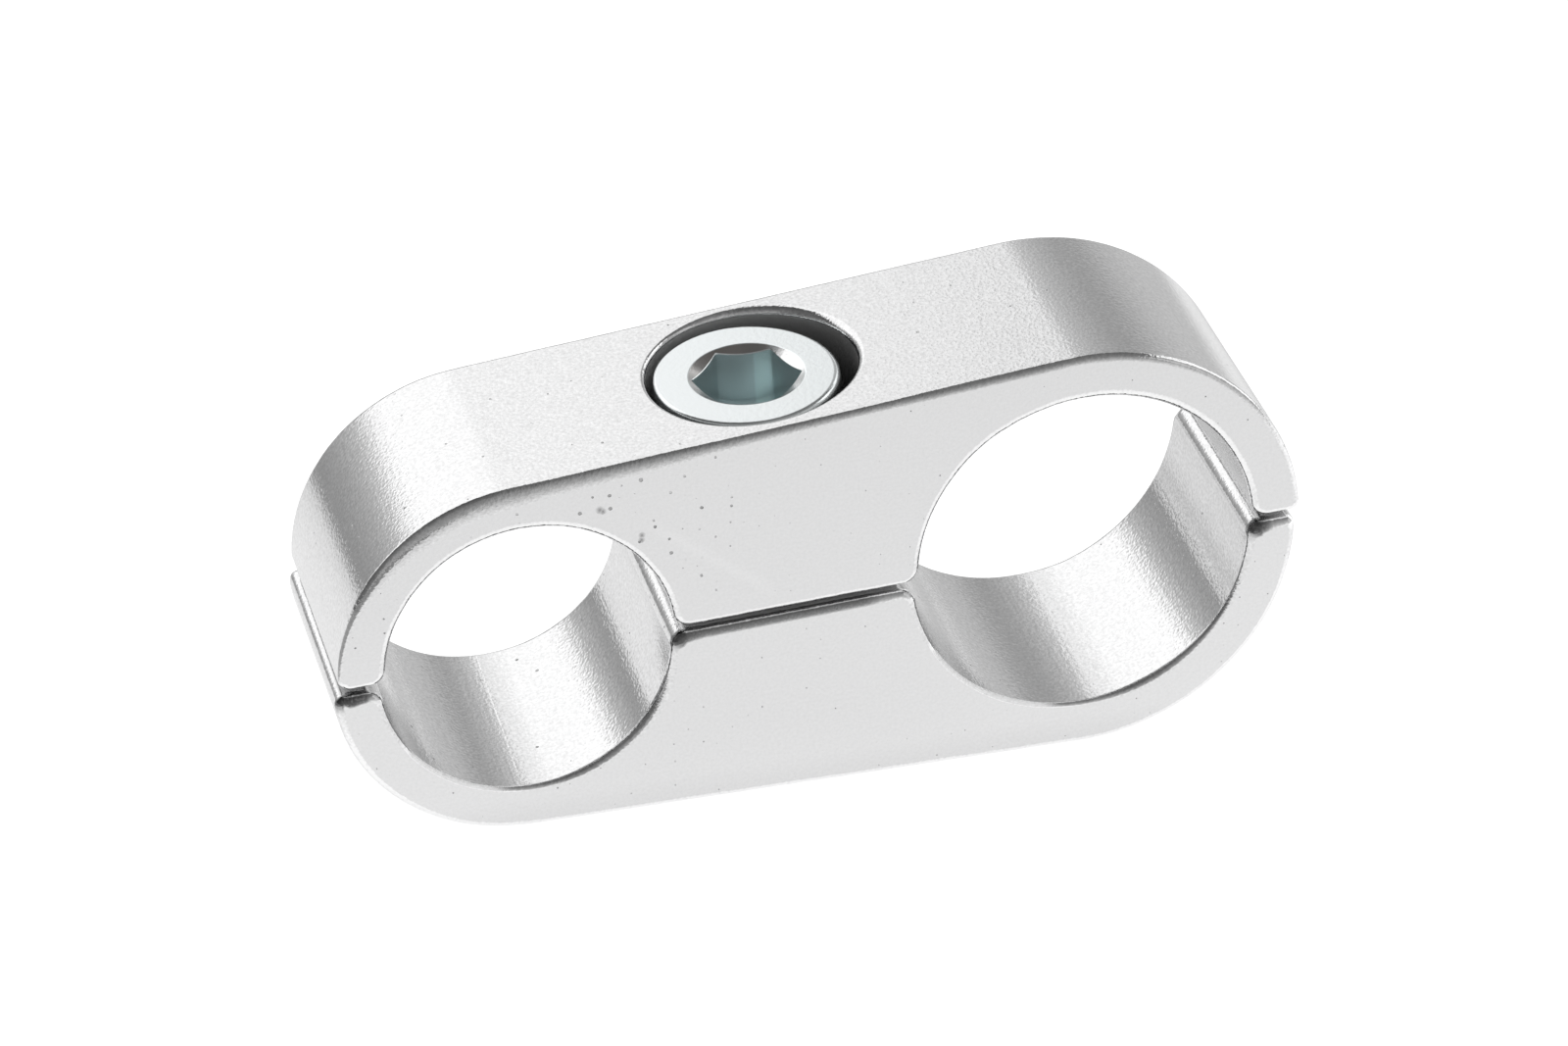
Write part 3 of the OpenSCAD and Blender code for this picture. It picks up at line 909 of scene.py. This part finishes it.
def build_lower_half():
    shell, loops = build_half(lower_edge, lower_tone, (LOWER_CORNER_ROUND, LOWER_CORNER_ROUND))
    low, high = add_thread(
        shell, low_end=0.0, length=flat_height(SCREW_X) - TAPPED_EXIT_DEPTH, root_radius=TAPPED_CREST_R,
        crest_radius=TAPPED_R, crest_flat=TAPPED_CREST_FLAT, end_radius=TAPPED_MOUTH_R, side=-1.0,
        rows=TAPPED_ROWS)
    shell.cap(loops["web"], "xy", low, SAWN)
    rim = []
    for s in HOLE_SPOKES:
        x = SCREW_X + TAPPED_EXIT_R * s.x
        rim.append(shell.add((x, TAPPED_EXIT_R * s.y, flat_height(x))))
    shell.band(high, rim)
    shell.cap(loops["flat"], "xy", rim)
    turned_over = CLAMP_PLACE @ Matrix.Diagonal((1, 1, -1, 1))
    # Two fine scratches cross the small bore: place along the body, slant and gain
    scratches = [(-0.01567, 0.024, 0.3), (-0.01778, 0.02, 0.12)]
    reamed = aluminium_material("reamed_aluminium_lower", 0.5, scratches)
    finishes = [tumbled_finish, reamed, tumbled_finish, sawn_finish, faced_finish]
    return finished_object("lower_clamp_half", shell, finishes, turned_over)


lower_half = build_lower_half()
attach(lower_half, "base")
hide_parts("lower_half")


# Upper half of the clamp
# The same aluminium bar, turned over. It carries the other half of each bore, a clearance hole
# for the screw, and the end-milled counterbore that the screw's head is sunk in.
UPPER_CORNER_ROUNDS = (0.7, 0.5)
# This is a hair over the modelled gap, so that the closed halves meet without sharing a plane
SPLIT_GAP = 0.356
SIDE_SHIFT = 0.25
CLEARANCE_R = 3.505
CLEARANCE_MOUTH = 0.3
COUNTERBORE_R = 5.4
COUNTERBORE_MOUTH = 0.22
MOUTH_WEAR = 0.18
WORN_SIDE = Vector((0.85, 0.53, 0.0))
HEAD_HEIGHT = 6.35
HEAD_SINK = 0.42
SEAT_HEIGHT = flat_height(SCREW_X) - HEAD_SINK - HEAD_HEIGHT
RIM_STEPS = 8
UPPER_RIM_WIDTH = 1.5
# Along the upper half's front edge: place, height of the rounding, and its depth as a share of that
FRONT_EDGE_WEAR = [
    (-24.6, 0.20, 1.0), (-23.9, 0.26, 0.9), (-23.3, 0.40, 0.8), (-22.6, 0.60, 0.7), (-21.5, 0.84, 0.5),
    (-19.5, 1.0, 0.48), (-16, 0.95, 0.48), (-12.5, 0.82, 0.5), (-7, 0.60, 0.6), (-1, 0.40, 0.75),
    (4, 0.34, 0.85), (9, 0.36, 1.0), (26, 0.34, 1.0),
]


def counterbore_material():
    """The end-milled counterbore, which the tumbling stones didn't reach."""
    material, tree = new_material("milled_counterbore")
    shader = add_surface(tree, "ShaderNodeBsdfPrincipled")
    shader.inputs["Metallic"].default_value = 0.85
    shader.inputs["Roughness"].default_value = 0.42
    x, _, _ = place_in(tree)
    # Painted shade: the colour is lightest at the counterbore's left and darker towards its right
    shade = ramp(tree, x, [(-0.0075, 1.0), (-0.0045, 0.86), (-0.001, 0.66), (0.003, 0.48)])
    tree.links.new(shade, shader.inputs["Base Color"])
    add_bump(tree, shader, noise_in(tree, (900, 900, 9000), 2.0), 0.000006)
    return material


def upper_edge(x, side, z):
    """Radius and depth share of an edge. In front it was tumbled most at the small end."""
    # Its wear is uneven in other places than the lower half's
    r = worn_round(x + 40.0, side, z + 25.0)
    if side > 0 or z < 0.5:
        return r, 1.0
    if from_bore(x, z) < UPPER_RIM_WIDTH:
        return r * (1.0 + 0.5 * clamped((z - 4.0) / 3.5)), 1.0
    height, share = table_row(FRONT_EDGE_WEAR, x)
    return r / EDGE_ROUND * height, share


def upper_tone(x, side, z, nz, turn):
    """Edges that face down get a painted highlight, as do the corners at the split."""
    split_corner = z < 0.4 and -0.98 < nz < -0.02
    if turn == 1 or (turn == 0 and not split_corner):
        return 0.0
    return 1.0 if split_corner else min(1.0, 2 * turn) * clamped(-3 * nz)


def rounded_rim(shell, corners, outward, inward, radii):
    """Rings that round a hole's rim over, from the face it opens in to the hole's wall."""
    rings = []
    for k in range(RIM_STEPS + 1):
        a = math.pi / 2 * k / RIM_STEPS
        aside, into = 1 - math.sin(a), 1 - math.cos(a)
        ring = []
        for corner, out_dir, spoke, radius in zip(corners, outward, HOLE_SPOKES, radii):
            place = corner + radius * (aside * out_dir + into * inward)
            ring.append(shell.add(place, -inward * math.cos(a) - spoke * math.sin(a)))
        rings.append(ring)
    return rings


def seat_ring(shell, radius):
    """A ring at the height of the counterbore's floor."""
    return [shell.add((SCREW_X + radius * s.x, radius * s.y, SEAT_HEIGHT), -s) for s in HOLE_SPOKES]


def build_upper_half():
    shell, loops = build_half(upper_edge, upper_tone, UPPER_CORNER_ROUNDS)
    low_corner = [SCREW_AXIS + CLEARANCE_R * s for s in HOLE_SPOKES]
    low_radii = [CLEARANCE_MOUTH] * HOLE_SIDES
    lower_rim = rounded_rim(shell, low_corner, HOLE_SPOKES, Vector((0, 0, 1)), low_radii)
    shell.cap(loops["web"], "xy", lower_rim[0], SAWN)
    for near, far in zip(lower_rim, lower_rim[1:]):
        shell.band(near, far)
    seat_inner = seat_ring(shell, CLEARANCE_R)
    shell.band(lower_rim[-1], seat_inner)
    seat_outer = seat_ring(shell, COUNTERBORE_R)
    shell.band(seat_inner, seat_outer, flat=True, finish=MILLED)
    top_corner = []
    for s in HOLE_SPOKES:
        x = SCREW_X + COUNTERBORE_R * s.x
        top_corner.append(Vector((x, COUNTERBORE_R * s.y, flat_height(x))))
    flat_normal = Vector((-math.sin(TAPER), 0, math.cos(TAPER)))
    outward = [(s - s.dot(flat_normal) * flat_normal).normalized() for s in HOLE_SPOKES]
    radii = [COUNTERBORE_MOUTH + MOUTH_WEAR * max(0.0, s.dot(WORN_SIDE)) for s in HOLE_SPOKES]
    upper_rim = rounded_rim(shell, top_corner, outward, -flat_normal, radii)
    shell.cap(loops["flat"], "xy", upper_rim[0])
    for near, far in zip(upper_rim, upper_rim[1:]):
        shell.band(near, far)
    shell.band(upper_rim[-1], seat_outer, finish=MILLED)
    place = CLAMP_PLACE @ Matrix.Translation((SIDE_SHIFT, 0, SPLIT_GAP))
    finishes = [tumbled_finish, reamed_finish, counterbore_material(), sawn_finish, faced_finish]
    return finished_object("upper_clamp_half", shell, finishes, place)


upper_half = build_upper_half()
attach(upper_half, "jaw")
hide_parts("upper_half")


# Cap screw
# Zinc-plated steel, turned and threaded. Its round head has a countersunk hexagon
# socket for a key, and its thread runs down into the lower half.
HEAD_R = 4.75
HEAD_FOOT_CHAMFER = 0.12
HEAD_TOP_ROUND = 0.17
HEAD_TOP_WEAR = 0.22
SOCKET_ACROSS = 4.8
SOCKET_DEPTH = 3.2
SOCKET_SIDES = 6
SOCKET_TURN = math.radians(-10)
SOCKET_TIP_INSET = 0.2
SOCKET_TIP_ANGLE = math.radians(59)
COUNTERSINK_R = 2.97
COUNTERSINK_LIP = 0.04
COUNTERSINK_ANGLE = math.radians(62)
SOCKET_EDGE = 0.05
SHANK_LENGTH = 12.7
THREAD_CREST_R = 3.13
THREAD_CREST_FLAT = 0.14
THREAD_ROOT_R = 2.42
SHANK_TIP_R = 2.45
SHANK_ROWS = 150
HEAD_SEAT = SEAT_HEIGHT + SPLIT_GAP
HEAD_TOP = HEAD_SEAT + HEAD_HEIGHT
# By the angle round the axis, tones from -1, painted shade, to 1, painted highlight: the countersink, and the
# socket's walls
SINK_PAINTED_LIGHT = [(-180, -0.2), (-90, 0.0), (-15, 0.3), (0, 1.0), (40, 1.0), (55, -0.7), (105, -0.9),
              (160, -0.6), (180, -0.2)]
SOCKET_PAINTED_LIGHT = [(-180, -0.5), (-11, -0.8), (49, -0.9), (50.5, 0.8), (68, 0.8), (70, 0.0), (109, -0.1),
                (111, -0.6), (180, -0.5)]
# Colours from painted shade to painted highlight, or the plate's own colour alone.
# The plate is thinner and bluer down in the socket
PLATE_SHADES = [(0.905, 0.94, 0.945, 1.0)]
SOCKET_SHADES = [(0.50, 0.56, 0.565, 1.0), (0.70, 0.80, 0.81, 1.0), (0.84, 1.0, 1.0, 1.0)]
SINK_SHADES = [(0.30, 0.27, 0.25, 1.0), (0.87, 0.90, 0.905, 1.0), (1.0, 1.0, 1.0, 1.0)]
# The screw's materials, in the order of its mesh
PLATED, IN_SOCKET, COUNTERSUNK = range(3)
UP = Vector((0, 0, 1))


def zinc_material(name, shades, roughness, metallic):
    """Bright zinc plate over turned steel, with a fine grain, and with painted shade and painted highlights
    from the tones of its mesh.
    """
    material, tree = new_material(name)
    shader = add_surface(tree, "ShaderNodeBsdfPrincipled")
    shader.inputs["Metallic"].default_value = metallic
    shader.inputs["Roughness"].default_value = roughness
    if len(shades) == 1:
        shader.inputs["Base Color"].default_value = shades[0]
    else:
        by_tone = add_node(tree, "ShaderNodeValToRGB")
        by_tone.color_ramp.elements.new(0.5)
        for k, shade in enumerate(shades):
            by_tone.color_ramp.elements[k].position = k / 2
            by_tone.color_ramp.elements[k].color = shade
        half_tone = maths(tree, "MULTIPLY", mesh_tone(tree), 0.5)
        tree.links.new(maths(tree, "ADD", half_tone, 0.5), by_tone.inputs["Fac"])
        tree.links.new(by_tone.outputs["Color"], shader.inputs["Base Color"])
    add_bump(tree, shader, noise_in(tree, (4200, 4200, 4200), 3.0), 0.000007)
    return material


def turned_ring(shell, radius, height, lean=None):
    """A ring about the screw's axis; lean is how far its normals point outward and upward."""
    made = []
    for s in HOLE_SPOKES:
        normal = None if lean is None else s * lean[0] + UP * lean[1]
        made.append(shell.add(SCREW_AXIS + s * radius + UP * height, normal))
    return made


def add_head(shell, under_head):
    """The head from its seat up to the rounded edge of its top, whose last ring it gives."""
    foot = turned_ring(shell, HEAD_R - HEAD_FOOT_CHAMFER, HEAD_SEAT)
    shell.band(under_head, foot, flat=True)
    last = turned_ring(shell, HEAD_R, HEAD_SEAT + HEAD_FOOT_CHAMFER, (1, 0))
    shell.band(foot, last)
    for k in range(EDGE_STEPS + 1):
        a = math.pi / 2 * k / EDGE_STEPS
        out, rise = math.cos(a), math.sin(a)
        step = []
        for s in HOLE_SPOKES:
            r = HEAD_TOP_ROUND + HEAD_TOP_WEAR * max(0.0, s.x)
            place = SCREW_AXIS + s * (HEAD_R - r * (1 - out)) + UP * (HEAD_TOP - r * (1 - rise))
            step.append(shell.add(place, s * out + UP * rise))
        shell.band(last, step)
        last = step
    return last


def add_socket(shell, head_edge):
    """The top of the head, and the countersunk hexagon socket with its drilled bottom."""
    slope = math.tan(COUNTERSINK_ANGLE)
    sink_lean = (-math.cos(COUNTERSINK_ANGLE), math.sin(COUNTERSINK_ANGLE))
    sink_mouth = turned_ring(shell, COUNTERSINK_R + COUNTERSINK_LIP, HEAD_TOP, (0, 1))
    shell.band(head_edge, sink_mouth, flat=True)
    lip = turned_ring(shell, COUNTERSINK_R - COUNTERSINK_LIP, HEAD_TOP - COUNTERSINK_LIP / slope, sink_lean)
    shell.band(sink_mouth, lip)
    per_side = HOLE_SIDES // SOCKET_SIDES
    first_corner = round(math.degrees(SOCKET_TURN) / (360 / HOLE_SIDES)) % per_side
    sloped, walled, bottom = [], [], []
    for k, s in enumerate(HOLE_SPOKES):
        facing = math.degrees(math.atan2(s.y, s.x))
        # The countersink and the socket's walls get painted shade and painted highlights by the way they face
        sink_painted_light, = table_row(SINK_PAINTED_LIGHT, facing)
        wall_painted_light, = table_row(SOCKET_PAINTED_LIGHT, facing)
        shell.tones[lip[k]] = sink_painted_light
        angle = 2 * math.pi * k / HOLE_SIDES - SOCKET_TURN
        off_middle = (angle % (math.pi / 3)) - math.pi / 6
        reach = SOCKET_ACROSS / 2 / math.cos(off_middle)
        wall_angle = angle - off_middle + SOCKET_TURN
        wall_normal = -Vector((math.cos(wall_angle), math.sin(wall_angle), 0))
        if k % per_side == first_corner:
            wall_normal = None
        sink_foot = HEAD_TOP - (COUNTERSINK_R - reach) / slope
        slope_end = SCREW_AXIS + s * (reach + SOCKET_EDGE) + UP * (sink_foot + SOCKET_EDGE / slope)
        wall = SCREW_AXIS + s * reach
        sloped.append(shell.add(slope_end, s * sink_lean[0] + UP * sink_lean[1], sink_painted_light))
        walled.append(shell.add(wall + UP * (sink_foot - SOCKET_EDGE), wall_normal, wall_painted_light))
        bottom.append(shell.add(wall + UP * (HEAD_TOP - SOCKET_DEPTH), wall_normal, wall_painted_light))
    shell.band(lip, sloped, finish=COUNTERSUNK)
    shell.band(sloped, walled)
    shell.band(walled, bottom, flat=True, finish=IN_SOCKET)
    tip_r = SOCKET_ACROSS / 2 - SOCKET_TIP_INSET
    drilled = turned_ring(shell, tip_r, HEAD_TOP - SOCKET_DEPTH)
    shell.band(bottom, drilled, flat=True, finish=IN_SOCKET)
    tip = shell.add(SCREW_AXIS + UP * (HEAD_TOP - SOCKET_DEPTH - tip_r / math.tan(SOCKET_TIP_ANGLE)))
    shell.fan(drilled, tip, finish=IN_SOCKET)


def build_cap_screw():
    shell = Shell()
    shank_tip = HEAD_SEAT - SHANK_LENGTH
    low, high = add_thread(
        shell, low_end=shank_tip, length=SHANK_LENGTH, root_radius=THREAD_ROOT_R, crest_radius=THREAD_CREST_R,
        crest_flat=THREAD_CREST_FLAT, end_radius=SHANK_TIP_R, side=1.0, rows=SHANK_ROWS)
    shell.fan(low, shell.add(SCREW_AXIS + UP * shank_tip), flat=True)
    add_socket(shell, add_head(shell, high))
    finishes = [zinc_material("bright_zinc", PLATE_SHADES, 0.20, 1.0),
                zinc_material("blue_zinc_socket", SOCKET_SHADES, 0.24, 0.85),
                zinc_material("countersink", SINK_SHADES, 0.22, 0.9)]
    return finished_object("socket_cap_screw", shell, finishes, CLAMP_PLACE)


cap_screw = build_cap_screw()
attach(cap_screw, "screw")
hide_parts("cap_screw")
